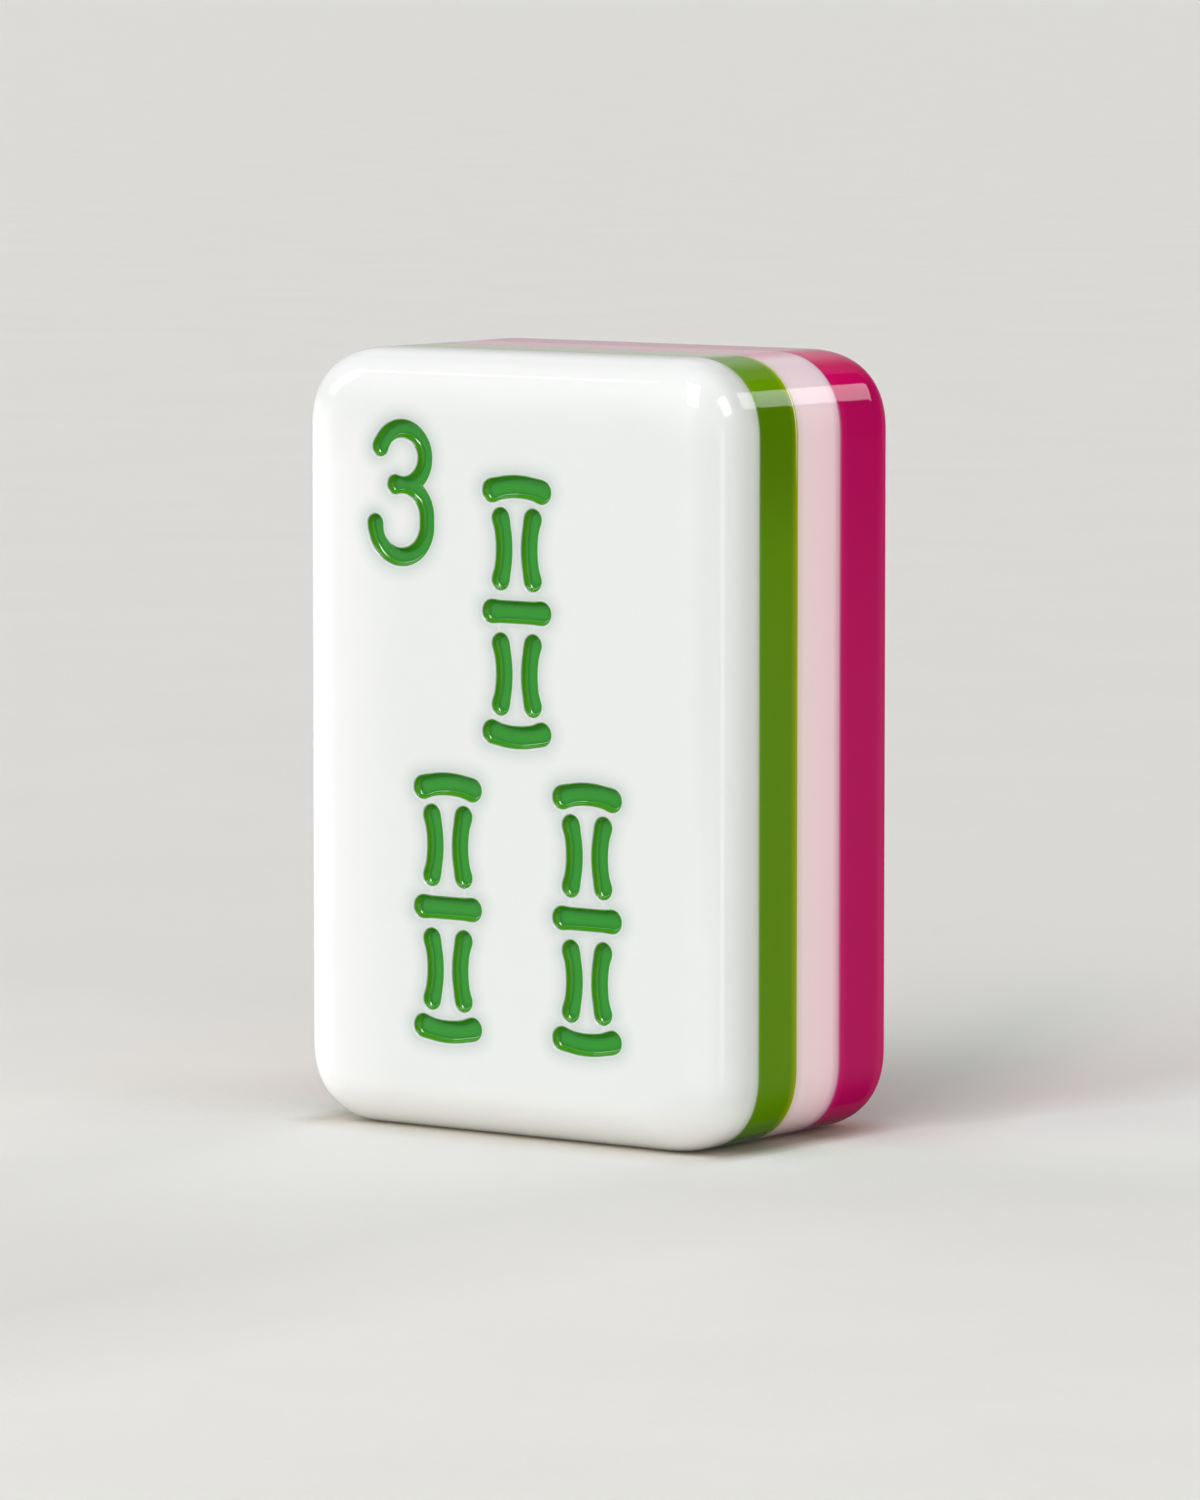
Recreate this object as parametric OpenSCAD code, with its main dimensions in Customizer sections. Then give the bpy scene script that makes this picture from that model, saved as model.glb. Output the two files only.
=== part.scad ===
// Layered acrylic game tile, engraved with an index numeral and three bamboo rods.
// The tile stands on its lower edge. X runs across the face, Y from the face to the back, Z up.
// The origin is at the middle of the underside.

/* [Tile] */
// Width of the tile
tile_w = 20; // [18:0.5:26]
// Height of the tile
tile_h = 30; // [28:0.5:36]
// Radius of the four corners, seen from the front
corner_r = 2.75; // [2.5:0.05:3.6]
// Radius of the rounding round the face
front_round_r = 2; // [1.2:0.05:2.4]
// Radius of the rounding round the back
back_round_r = 2.3; // [1.2:0.05:2.4]

/* [Layers] */
// Thickness of the white face layer
face_t = 3.04; // [2.6:0.02:4]
// Thickness of the green layer
green_t = 2.32; // [1:0.02:4]
// Thickness of the pink layer
pink_t = 2.82; // [1:0.02:4]
// Thickness of the magenta back layer
back_t = 4.64; // [3:0.02:6]
// Thickness of each film of cement between two layers
film_t = 0.06; // [0.04:0.01:0.12]

/* [Engraving] */
// Depth of the engraved grooves
groove_d = 0.42; // [0.36:0.01:0.6]
// Radius between a groove's walls and its floor
groove_floor_r = 0.22; // [0.12:0.01:0.28]
// Thickness of the enamel on a groove's floor
enamel_t = 0.14; // [0.08:0.01:0.18]
// Thickness of the enamel against a groove's walls
enamel_rim_t = 0.05; // [0.03:0.01:0.08]
// How far the enamel's rim lies below the face
enamel_lip_d = 0.03; // [0.02:0.01:0.06]
// Radius of the hollow in the enamel's surface
meniscus_r = 0.2; // [0.1:0.01:0.22]
// How much wider a stroke's two ends are on each side, where the cutter went in and out
end_swell = 0.03; // [0.02:0.01:0.08]

/* [Numeral] */
// Width of the numeral's stroke
numeral_stroke = 0.7; // [0.6:0.02:0.9]
// Radius of the upper bowl, along the middle of its stroke
upper_bowl_r = 1.1; // [0.9:0.02:1.3]
// Radius of the lower bowl, along the middle of its stroke
lower_bowl_r = 1.24; // [1.1:0.02:1.5]
// Length of the straight stretch in the lower bowl's right side
lower_bowl_side = 0.32; // [0.1:0.02:0.8]
// How far the lower bowl reaches past the upper one on the right
bowl_step = 0.09; // [0:0.01:0.2]
// How far the tip between the two bowls lies to the left of the lower bowl's middle
waist_tip_l = 0.28; // [0.15:0.01:0.4]
// Angle of the upper bowl's free end, anticlockwise from the right
upper_end_angle = 160; // [140:1:200]
// Angle of the lower bowl's free end, clockwise from the right
lower_end_angle = 180; // [140:1:190]
// Gap between the numeral and the tile's left side
numeral_side_gap = 3.8; // [3:0.1:6]
// Gap between the numeral and the tile's top
numeral_top_gap = 2.6; // [2.4:0.1:5]

/* [Bamboo rods] */
// Width of the stroke of the bars across a rod
bar_stroke = 0.86; // [0.7:0.02:1]
// Length of the bars across a rod
bar_l = 3.2; // [2.8:0.1:3.8]
// Radius to which the bars at a rod's two ends are bowed
bar_bow_r = 4; // [3:0.1:8]
// Width of the stroke of the lines along a cane
cane_stroke = 0.78; // [0.6:0.02:0.8]
// Length of a cane between two bars
cane_l = 3.1; // [2.4:0.1:3.4]
// Distance between a cane's two lines at its waist
cane_waist_w = 1.18; // [1.1:0.02:1.3]
// Distance between a cane's two lines at its ends
cane_mouth_w = 1.52; // [1.4:0.02:1.8]
// Gap between a bar and a cane
joint_gap = 0.4; // [0.3:0.05:0.6]
// Distance between the two lower rods
rod_pitch = 6.6; // [5.5:0.1:8]
// Gap between the upper rod and the lower ones
row_gap = 1.1; // [0.6:0.1:2]
// Gap between the lower rods and the tile's underside
rod_bottom_gap = 3.6; // [3:0.1:4.2]
// How far the rods stand to the right of the tile's middle
rod_offset = 0.9; // [0:0.1:1.5]

/* [Hidden] */
$fn = 96;
// How far a cut or a slice runs past the tile's own surface
overrun = 0.5;

// Depths of the layers' front surfaces, measured from the face
face_film_depth = face_t;
green_depth = face_film_depth + film_t;
middle_film_depth = green_depth + green_t;
pink_depth = middle_film_depth + film_t;
back_film_depth = pink_depth + pink_t;
back_depth = back_film_depth + film_t;
tile_t = back_depth + back_t;

// A rounding is never larger than the corner that it runs round
front_r = min(front_round_r, corner_r);
back_r = min(back_round_r, corner_r);

// Middle of the numeral's bowls. The lower one is two arcs with a straight side between them
lower_bowl_x = -tile_w / 2 + numeral_side_gap + numeral_stroke / 2 + lower_bowl_r;
upper_bowl_x = lower_bowl_x + lower_bowl_r - bowl_step - upper_bowl_r;
upper_bowl_y = tile_h - numeral_top_gap - numeral_stroke / 2 - upper_bowl_r;

// The tip where the bowls meet, at the same angle on both of them
waist_tip_x = lower_bowl_x - waist_tip_l;
lower_tip_angle = acos(-waist_tip_l / lower_bowl_r);
upper_tip_angle = acos((waist_tip_x - upper_bowl_x) / upper_bowl_r);
waist_tip_y = upper_bowl_y - upper_bowl_r * sin(upper_tip_angle);
lower_bowl_top_y = waist_tip_y - lower_bowl_r * sin(lower_tip_angle);
lower_bowl_y = lower_bowl_top_y - lower_bowl_side;

// Heights in a rod: three bars with a cane between each two
cane_low_y = bar_stroke + joint_gap;
bar_middle_y = cane_low_y + cane_l + joint_gap + bar_stroke / 2;
cane_high_y = bar_middle_y + bar_stroke / 2 + joint_gap;
rod_h = cane_high_y + cane_l + joint_gap + bar_stroke;

// Half the length of a bar and of a cane's line, along the middle of the stroke
bar_reach = (bar_l - bar_stroke) / 2;
bar_bow_angle = asin(bar_reach / bar_bow_r);
cane_reach = (cane_l - cane_stroke) / 2;
cane_bow = (cane_mouth_w - cane_waist_w) / 2;
cane_bow_r = (cane_reach * cane_reach + cane_bow * cane_bow) / (2 * cane_bow);
cane_bow_angle = asin(cane_reach / cane_bow_r);

// Middle of each rod's foot on the face: the top rod, the left one and the right one
top_rod = [rod_offset, rod_bottom_gap + rod_h + row_gap];
left_rod = [rod_offset - rod_pitch / 2, rod_bottom_gap];
right_rod = [rod_offset + rod_pitch / 2, rod_bottom_gap];
rods = [top_rod, left_rod, right_rod];

// A stroke's profile is [half width, depth, floor radius, height of its open top]
function groove(stroke) = [stroke / 2, groove_d, groove_floor_r, overrun];
function enamel_bed(stroke) = [stroke / 2, groove_d, groove_floor_r, -enamel_lip_d];
function enamel_hollow(stroke) =
    [stroke / 2 - enamel_rim_t, groove_d - enamel_t, meniscus_r, overrun];

// The drawing plane: X across the face, Y up it, Z out of it
module on_face() {
    translate([0, -tile_t / 2, 0])
        rotate([90, 0, 0])
            children();
}

module quarter_disc(r) {
    intersection() {
        circle(r);
        square(r);
    }
}

// Half of the tile's section, from its middle out to one rounded side
module half_side(reach) {
    translate([0, -front_r])
        square([reach - front_r, front_r]);
    translate([reach - front_r, -front_r])
        quarter_disc(front_r);
    translate([0, back_r - tile_t])
        square([reach, tile_t - back_r - front_r]);
    translate([0, -tile_t])
        square([reach - back_r, back_r]);
    translate([reach - back_r, back_r - tile_t])
        mirror([0, 1])
            quarter_disc(back_r);
}

module side_to_side(span) {
    half_side(span / 2);
    mirror([1, 0])
        half_side(span / 2);
}

// The whole tile's form: a wide bar, a tall bar and four turned corners between them
module tile_form() {
    straight_w = tile_w - 2 * corner_r;
    straight_h = tile_h - 2 * corner_r;
    translate([-straight_w / 2, tile_h / 2, 0])
        rotate([90, 0, 90])
            linear_extrude(straight_w)
                side_to_side(tile_h);
    translate([0, tile_h - corner_r, 0])
        rotate([90, 0, 0])
            linear_extrude(straight_h)
                side_to_side(tile_w);
    for (turn = [0 : 3]) {
        across = (turn == 0 || turn == 3) ? straight_w / 2 : -straight_w / 2;
        up = (turn == 0 || turn == 1) ? tile_h - corner_r : corner_r;
        translate([across, up, 0])
            rotate(turn * 90)
                rotate_extrude(angle = 90)
                    half_side(corner_r);
    }
}

// The slice of the tile between two depths below the face
module slice(from, to) {
    intersection() {
        tile_form();
        translate([-tile_w, -tile_h / 2, -to])
            cube([2 * tile_w, 2 * tile_h, to - from]);
    }
}

// Half of a groove's section: an upright wall that turns into the floor
module half_groove(profile) {
    reach = profile[0];
    depth = profile[1];
    floor_r = profile[2];
    top = profile[3];
    translate([0, floor_r - depth])
        square([reach, depth - floor_r + top]);
    translate([0, -depth])
        square([reach - floor_r, floor_r]);
    translate([reach - floor_r, floor_r - depth])
        mirror([0, 1])
            quarter_disc(floor_r);
}

module whole_groove(profile) {
    half_groove(profile);
    mirror([1, 0])
        half_groove(profile);
}

// Round end of a stroke, a little wider than the stroke
module stroke_end(profile) {
    rotate_extrude()
        half_groove([profile[0] + end_swell, profile[1], profile[2], profile[3]]);
}

// A stroke round the origin, anticlockwise from one angle to another
module bowed_run(profile, bow_r, from, to) {
    rotate_extrude(angle = to - from, start = from)
        translate([bow_r, 0])
            whole_groove(profile);
}

module bowed_end(profile, bow_r, angle) {
    translate([bow_r * cos(angle), bow_r * sin(angle), 0])
        stroke_end(profile);
}

module bowed_stroke(profile, bow_r, from, to) {
    bowed_run(profile, bow_r, from, to);
    bowed_end(profile, bow_r, from);
    bowed_end(profile, bow_r, to);
}

// The numeral: two bowls that meet in a round tip
module numeral(profile) {
    translate([upper_bowl_x, upper_bowl_y, 0])
        bowed_stroke(profile, upper_bowl_r, -upper_tip_angle, upper_end_angle);
    translate([lower_bowl_x, lower_bowl_top_y, 0])
        bowed_run(profile, lower_bowl_r, 0, lower_tip_angle);
    translate([lower_bowl_x + lower_bowl_r, lower_bowl_top_y, 0])
        rotate([90, 0, 0])
            linear_extrude(lower_bowl_side)
                whole_groove(profile);
    translate([lower_bowl_x, lower_bowl_y, 0]) {
        bowed_run(profile, lower_bowl_r, -lower_end_angle, 0);
        bowed_end(profile, lower_bowl_r, -lower_end_angle);
    }
}

// The bar at a rod's foot, bowed downwards
module lower_bar(profile) {
    translate([0, bar_stroke / 2 + bar_bow_r, 0])
        bowed_stroke(profile, bar_bow_r, -90 - bar_bow_angle, -90 + bar_bow_angle);
}

module middle_bar(profile) {
    translate([-bar_reach, bar_middle_y, 0])
        rotate([90, 0, 90])
            linear_extrude(2 * bar_reach)
                whole_groove(profile);
    for (side = [-1, 1])
        translate([side * bar_reach, bar_middle_y, 0])
            stroke_end(profile);
}

// The bar at a rod's head, bowed upwards
module upper_bar(profile) {
    translate([0, rod_h - bar_stroke / 2 - bar_bow_r, 0])
        bowed_stroke(profile, bar_bow_r, 90 - bar_bow_angle, 90 + bar_bow_angle);
}

// A cane between two bars: two lines that draw in to a waist
module cane(profile, low_y) {
    for (side = [0, 180])
        translate([0, low_y + cane_l / 2, 0])
            rotate(side)
                translate([cane_waist_w / 2 + cane_bow_r, 0, 0])
                    bowed_stroke(profile, cane_bow_r, 180 - cane_bow_angle, 180 + cane_bow_angle);
}

module rod_grooves() {
    lower_bar(groove(bar_stroke));
    middle_bar(groove(bar_stroke));
    upper_bar(groove(bar_stroke));
    cane(groove(cane_stroke), cane_low_y);
    cane(groove(cane_stroke), cane_high_y);
}

module face_layer() {
    color("white")
        on_face()
            difference() {
                slice(-overrun, face_t);
                numeral(groove(numeral_stroke));
                for (rod = rods)
                    translate(rod)
                        rod_grooves();
            }
}

module cement_film(depth) {
    color([0.93, 0.91, 0.80])
        on_face()
            slice(depth, depth + film_t);
}

module green_layer() {
    color([0.32, 0.49, 0.09])
        on_face()
            slice(green_depth, middle_film_depth);
}

module pink_layer() {
    color([0.89, 0.77, 0.79])
        on_face()
            slice(pink_depth, back_film_depth);
}

module back_layer() {
    color([0.66, 0.11, 0.33])
        on_face()
            slice(back_depth, tile_t + overrun);
}

// Enamel that lines a groove and leaves its surface hollow
module enamel() {
    color([0.20, 0.56, 0.18])
        on_face()
            difference() {
                children(0);
                children(1);
            }
}

module numeral_enamel() {
    enamel() {
        numeral(enamel_bed(numeral_stroke));
        numeral(enamel_hollow(numeral_stroke));
    }
}

module lower_bar_enamel(rod) {
    enamel() {
        translate(rod)
            lower_bar(enamel_bed(bar_stroke));
        translate(rod)
            lower_bar(enamel_hollow(bar_stroke));
    }
}

module middle_bar_enamel(rod) {
    enamel() {
        translate(rod)
            middle_bar(enamel_bed(bar_stroke));
        translate(rod)
            middle_bar(enamel_hollow(bar_stroke));
    }
}

module upper_bar_enamel(rod) {
    enamel() {
        translate(rod)
            upper_bar(enamel_bed(bar_stroke));
        translate(rod)
            upper_bar(enamel_hollow(bar_stroke));
    }
}

module cane_enamel(rod, low_y) {
    enamel() {
        translate(rod)
            cane(enamel_bed(cane_stroke), low_y);
        translate(rod)
            cane(enamel_hollow(cane_stroke), low_y);
    }
}

face_layer();
cement_film(face_film_depth);  // face_cement_film
green_layer();
cement_film(middle_film_depth);  // middle_cement_film
pink_layer();
cement_film(back_film_depth);  // back_cement_film
back_layer();
numeral_enamel();
upper_bar_enamel(top_rod);  // top_rod_upper_bar
cane_enamel(top_rod, cane_high_y);  // top_rod_upper_cane
middle_bar_enamel(top_rod);  // top_rod_middle_bar
cane_enamel(top_rod, cane_low_y);  // top_rod_lower_cane
lower_bar_enamel(top_rod);  // top_rod_lower_bar
upper_bar_enamel(left_rod);  // left_rod_upper_bar
cane_enamel(left_rod, cane_high_y);  // left_rod_upper_cane
middle_bar_enamel(left_rod);  // left_rod_middle_bar
cane_enamel(left_rod, cane_low_y);  // left_rod_lower_cane
lower_bar_enamel(left_rod);  // left_rod_lower_bar
upper_bar_enamel(right_rod);  // right_rod_upper_bar
cane_enamel(right_rod, cane_high_y);  // right_rod_upper_cane
middle_bar_enamel(right_rod);  // right_rod_middle_bar
cane_enamel(right_rod, cane_low_y);  // right_rod_lower_cane
lower_bar_enamel(right_rod);  // right_rod_lower_bar
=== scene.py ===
# Looks of a layered acrylic game tile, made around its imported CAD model
import math

import bpy
import numpy as np
from mathutils import Matrix, Vector
from mathutils.geometry import delaunay_2d_cdt, tessellate_polygon
from mathutils.kdtree import KDTree


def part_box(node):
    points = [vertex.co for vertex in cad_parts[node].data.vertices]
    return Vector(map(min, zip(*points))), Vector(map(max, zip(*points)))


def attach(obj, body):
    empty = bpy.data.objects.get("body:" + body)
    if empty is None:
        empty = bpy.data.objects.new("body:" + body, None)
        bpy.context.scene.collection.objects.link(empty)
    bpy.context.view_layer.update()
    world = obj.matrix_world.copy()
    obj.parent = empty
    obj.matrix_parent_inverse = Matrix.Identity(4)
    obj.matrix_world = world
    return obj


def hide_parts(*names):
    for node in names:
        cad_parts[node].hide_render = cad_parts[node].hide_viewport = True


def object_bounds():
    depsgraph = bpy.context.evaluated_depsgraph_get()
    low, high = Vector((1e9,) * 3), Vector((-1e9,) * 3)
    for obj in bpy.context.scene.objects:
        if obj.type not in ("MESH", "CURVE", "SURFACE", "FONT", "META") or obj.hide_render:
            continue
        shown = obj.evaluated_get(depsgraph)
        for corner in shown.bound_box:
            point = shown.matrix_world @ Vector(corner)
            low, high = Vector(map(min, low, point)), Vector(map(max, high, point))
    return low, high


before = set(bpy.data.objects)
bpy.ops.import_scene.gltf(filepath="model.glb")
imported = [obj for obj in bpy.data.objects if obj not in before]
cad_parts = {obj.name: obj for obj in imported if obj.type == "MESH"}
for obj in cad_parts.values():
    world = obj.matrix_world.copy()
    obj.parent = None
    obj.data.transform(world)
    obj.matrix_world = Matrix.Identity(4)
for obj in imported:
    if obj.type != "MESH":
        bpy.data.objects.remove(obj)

CAD_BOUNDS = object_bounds()

# Meshes are worked out in millimetres, and made in metres
MM = 0.001


def box_mm(node):
    """Lowest and highest corner of a CAD node, in millimetres."""
    low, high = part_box(node)
    return np.array(low) / MM, np.array(high) / MM


LOW, HIGH = (np.array(corner) / MM for corner in CAD_BOUNDS)
TILE_W, TILE_T, TILE_H = HIGH - LOW
FACE_Y, BACK_Y = LOW[1], HIGH[1]

# Softly rounded block: corners and edges draw in a little faster than a circle does
CORNER_R = 3.18
CORNER_EXPONENT = 2.4
FRONT_R = 2.28
BACK_R = 2.54
EDGE_EXPONENT = 2.2
CORNER_STEPS = 33
EDGE_STEPS = 25
STRAIGHT_STEP = 0.9

# Polishing leaves each seam very slightly hollow. Rows of points lie close together there
SEAM_HOLLOW = 0.004
SEAM_HOLLOW_W = 0.16
END_ROWS = np.array([0, 0.04, 0.08, 0.13, 0.18, 0.24, 0.32, 0.45])
MIDDLE_ROWS = 5
LEAST_ROW_GAP = 0.008

# Engraving, as the CAD model has it
GROOVE_D = 0.42
GROOVE_FLOOR_R = 0.22
LIP_R = 0.05
END_SWELL = 0.03
SWELL_L = 0.45
NUMERAL_STROKE = 0.7
UPPER_BOWL_R = 1.1
LOWER_BOWL_R = 1.24
LOWER_BOWL_SIDE = 0.32
BOWL_STEP = 0.09
WAIST_TIP_L = 0.28
UPPER_END_ANGLE = 160
LOWER_END_ANGLE = 180
# Steps round the outer and the inner side of its upper bowl, and of its lower bowl's upper and lower parts
UPPER_STEPS = (56, 56)
NECK_STEPS = (18, 28)
LOWER_STEPS = (64, 48)
BAR_STROKE = 0.86
BAR_L = 3.2
BAR_BOW_R = 4
CANE_STROKE = 0.78
CANE_L = 3.1
CANE_WAIST_W = 1.18
CANE_MOUTH_W = 1.52
JOINT_GAP = 0.4

# How far round each stroke the white is greyed by painted shade
HALO_W = 0.7

# Enamel in the grooves
ENAMEL_T = 0.14
ENAMEL_GAP = 0.003
RIM_D = 0.03
RIM_R = 0.02
MENISCUS_W = 0.17
CENTRE_W = 0.06

# Points round the curves of a groove and of its enamel
FILLET_POINTS = 7
RIM_POINTS = 9
MENISCUS_POINTS = 15
CENTRE_RINGS = 3

# Distance between two points along a stroke, and between two points of the face's lattice
STROKE_STEP = 0.06
LEAST_STEPS = 4
CAP_STEPS = 18
LATTICE_STEP = 0.16
LATTICE_CLEARANCE = 0.07
SAME_POINT = 1e-6

TO_FRONT = (0, -1, 0)
TO_BACK = (0, 1, 0)


def direction(angle):
    """Unit vectors at these angles, in degrees anticlockwise from the right."""
    radians = np.radians(angle)
    return np.stack([np.cos(radians), np.sin(radians)], -1)


def at_depth(flat, y):
    """Points or vectors of the front view, as (x, z), with this y."""
    return np.stack([flat[:, 0], np.full(len(flat), y), flat[:, 1]], -1)


class Shape:
    """Points and faces of one piece, with a normal for each corner of each face."""

    def __init__(self):
        self.points = []
        self.count = 0
        self.faces = []
        self.normals = []
        self.values = []

    def add(self, points, value=0.0):
        """Adds points and returns their numbers. The value is kept with each of them."""
        points = np.asarray(points, float)
        self.points.append(points)
        self.values.append(np.broadcast_to(np.asarray(value, float), (len(points),)))
        first = self.count
        self.count += len(points)
        return np.arange(first, self.count)

    def band(self, ring_a, ring_b, normals_a, normals_b):
        """Four-sided faces between two closed rings of as many points."""
        points = np.concatenate(self.points)
        a, b = ring_a, ring_b
        a_next, b_next = np.roll(a, -1), np.roll(b, -1)
        turn = np.cross(points[a_next] - points[b], points[b_next] - points[a])
        mean = normals_a + normals_b
        wrong_way = (turn * mean).sum(-1).sum() < 0
        na_next, nb_next = np.roll(normals_a, -1, 0), np.roll(normals_b, -1, 0)
        if wrong_way:
            corners = np.stack([b, b_next, a_next, a], -1)
            normals = np.stack([normals_b, nb_next, na_next, normals_a], 1)
        else:
            corners = np.stack([a, a_next, b_next, b], -1)
            normals = np.stack([normals_a, na_next, nb_next, normals_b], 1)
        self.faces += corners.tolist()
        self.normals.append(normals.reshape(-1, 3))

    def flat(self, faces, normal):
        """Flat faces whose corners all share one normal."""
        points = np.concatenate(self.points)
        for face in faces:
            a, b, c = points[face[0]], points[face[1]], points[face[2]]
            if np.dot(np.cross(b - a, c - b), normal) < 0:
                face = face[::-1]
            self.faces.append([int(i) for i in face])
            self.normals.append(np.tile(np.asarray(normal, float), (len(face), 1)))

    def lid(self, ring, normal):
        """One flat face over a convex ring."""
        points = np.concatenate(self.points)[ring]
        area = np.cross(points, np.roll(points, -1, 0)).sum(0)
        face = ring if np.dot(area, normal) > 0 else ring[::-1]
        self.faces.append([int(i) for i in face])
        self.normals.append(np.tile(np.asarray(normal, float), (len(ring), 1)))

    def fill(self, ring, normal):
        """Triangles over a flat ring of any outline."""
        points = np.concatenate(self.points)[ring]
        triangles = tessellate_polygon([[Vector(p) for p in points]])
        self.flat([[ring[i] for i in t] for t in triangles], normal)

    def make(self, name, value_name=None):
        """The Blender object."""
        points = np.concatenate(self.points)
        mesh = bpy.data.meshes.new(name)
        mesh.from_pydata((points * MM).tolist(), [], self.faces)
        normals = np.concatenate(self.normals)
        normals /= np.linalg.norm(normals, axis=1, keepdims=True)
        mesh.polygons.foreach_set("use_smooth", np.ones(len(mesh.polygons), bool))
        mesh.normals_split_custom_set(normals.tolist())
        if value_name:
            attribute = mesh.attributes.new(value_name, "FLOAT", "POINT")
            attribute.data.foreach_set("value", np.concatenate(self.values).astype(np.float32))
        mesh.update()
        piece = bpy.data.objects.new(name, mesh)
        bpy.context.scene.collection.objects.link(piece)
        return piece


def tile_ring(inset):
    """The tile's outline seen from the front, drawn in by an inset, with its outward normals."""
    t = np.linspace(0, math.pi / 2, CORNER_STEPS)
    c, s = np.abs(np.cos(t)), np.abs(np.sin(t))
    shape_power, normal_power = 2 / CORNER_EXPONENT, 2 - 2 / CORNER_EXPONENT
    quarter = np.stack([c**shape_power, s**shape_power], -1)
    quarter_normal = np.stack([c**normal_power, s**normal_power], -1)
    core = np.array([TILE_W / 2 - CORNER_R, TILE_H / 2 - CORNER_R])
    points, normals = [], []
    for sign, backwards in (((1, 1), False), ((-1, 1), True), ((-1, -1), False), ((1, -1), True)):
        corner = (core + quarter * (CORNER_R - inset)) * sign
        corner_normal = quarter_normal * sign
        points.append(corner[::-1] if backwards else corner)
        normals.append(corner_normal[::-1] if backwards else corner_normal)
    ring, ring_normal = [], []
    for i in range(4):
        start, end = points[i][-1], points[(i + 1) % 4][0]
        parts = max(int(np.abs(end - start).max() / STRAIGHT_STEP), 1)
        share = (np.arange(1, parts) / parts)[:, None]
        ring += [points[i], start + (end - start) * share]
        ring_normal += [normals[i], np.repeat(normals[i][-1:], parts - 1, 0)]
    outline = np.concatenate(ring) + [0, TILE_H / 2]
    return outline, np.concatenate(ring_normal)


def rounded_edge(radius):
    """Inset, distance from the flat, and the normal's parts out to the side and out of the flat."""
    t = np.linspace(0, math.pi / 2, EDGE_STEPS)
    c, s = np.abs(np.cos(t)), np.abs(np.sin(t))
    shape_power, normal_power = 2 / EDGE_EXPONENT, 2 - 2 / EDGE_EXPONENT
    inset = radius * (1 - s**shape_power)
    away = radius * (1 - c**shape_power)
    return list(zip(inset, away, s**normal_power, c**normal_power))


# Middles of the seams: each film's middle
FILMS = ("face_cement_film", "middle_cement_film", "back_cement_film")
SEAM_YS = [(box_mm(film)[0][1] + box_mm(film)[1][1]) / 2 for film in FILMS]


def side_profile(from_y, to_y):
    """Rows along the tile's straight side: inset, y, the normal's parts to the side and to the face."""
    middle = np.linspace(from_y, to_y, MIDDLE_ROWS + 2)[1:-1]
    ys = np.concatenate([from_y + END_ROWS, middle, to_y - END_ROWS])
    ys = np.unique(np.round(ys[(ys >= from_y) & (ys <= to_y)], 5))
    ys = ys[np.concatenate([[True], np.diff(ys) > LEAST_ROW_GAP])]
    ys[-1] = to_y
    rows = []
    for y in ys:
        inset = slope = 0.0
        for seam in SEAM_YS:
            share = (y - seam) / SEAM_HOLLOW_W
            hollow = SEAM_HOLLOW * math.exp(-share * share)
            inset += hollow
            slope -= 2 * share / SEAM_HOLLOW_W * hollow
        rows.append((inset, y, 1.0, -slope))
    return rows


def tile_band(shape, rows):
    """Rings of the tile's outline at the rows, with faces between them. Returns the rings."""
    rings, last = [], None
    for inset, y, to_side, to_face in rows:
        outline, outward = tile_ring(inset)
        normals = at_depth(outward * to_side, -to_face)
        ring = shape.add(at_depth(outline, y))
        if last:
            shape.band(last[0], ring, last[1], normals)
        last = (ring, normals)
        rings.append(ring)
    return rings


def block_piece(node, rows):
    """A piece with the tile's outline at the rows, and flat ends."""
    shape = Shape()
    rings = tile_band(shape, rows)
    shape.lid(rings[0], TO_FRONT)
    shape.lid(rings[-1], TO_BACK)
    return shape.make(node)


def sheet_piece(node):
    """A layer or film with straight sides."""
    low, high = box_mm(node)
    return block_piece(node, side_profile(low[1], high[1]))


def back_piece(node):
    """The back layer, with its rounded back edge."""
    low, _ = box_mm(node)
    rows = side_profile(low[1], BACK_Y - BACK_R)
    rows += [
        (inset, BACK_Y - away, to_side, -out)
        for inset, away, to_side, out in rounded_edge(BACK_R)[::-1][1:]
    ]
    return block_piece(node, rows)


def swelling(from_end):
    """How much wider a stroke is on each side, at these distances from its end."""
    share = 1 - np.clip(from_end / SWELL_L, 0, 1)
    return END_SWELL * share * share * (3 - 2 * share)


def steps_for(length):
    return max(int(math.ceil(length / STROKE_STEP)), LEAST_STEPS)


def cap(middle, start_angle, end_angle, radius):
    """Points round a stroke's end, between its two sides, with their outward normals."""
    out = direction(np.linspace(start_angle, end_angle, CAP_STEPS + 1)[1:-1])
    return middle + out * radius, out


def stroke(spine, left, half_w):
    """Outline of a stroke with round ends. The result gives the outline at an inset from the wall."""
    lengths = np.concatenate([[0], np.cumsum(np.linalg.norm(np.diff(spine, axis=0), axis=1))])
    widths = half_w + swelling(np.minimum(lengths, lengths[-1] - lengths))

    def outline(inset):
        reach = (widths - inset)[:, None]
        start_angle = math.degrees(math.atan2(left[0][1], left[0][0]))
        end_angle = math.degrees(math.atan2(left[-1][1], left[-1][0]))
        far, far_out = cap(spine[-1], end_angle, end_angle - 180, reach[-1])
        near, near_out = cap(spine[0], start_angle - 180, start_angle - 360, reach[0])
        points = np.concatenate([spine + left * reach, far, (spine - left * reach)[::-1], near])
        out = np.concatenate([left, far_out, -left[::-1], near_out])
        return points, out

    return outline, half_w


def straight_stroke(start, end, half_w):
    start, end = np.array(start, float), np.array(end, float)
    along = (end - start) / np.linalg.norm(end - start)
    share = np.linspace(0, 1, steps_for(np.linalg.norm(end - start)) + 1)[:, None]
    left = np.repeat([[-along[1], along[0]]], len(share), 0)
    return stroke(start + (end - start) * share, left, half_w)


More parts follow.
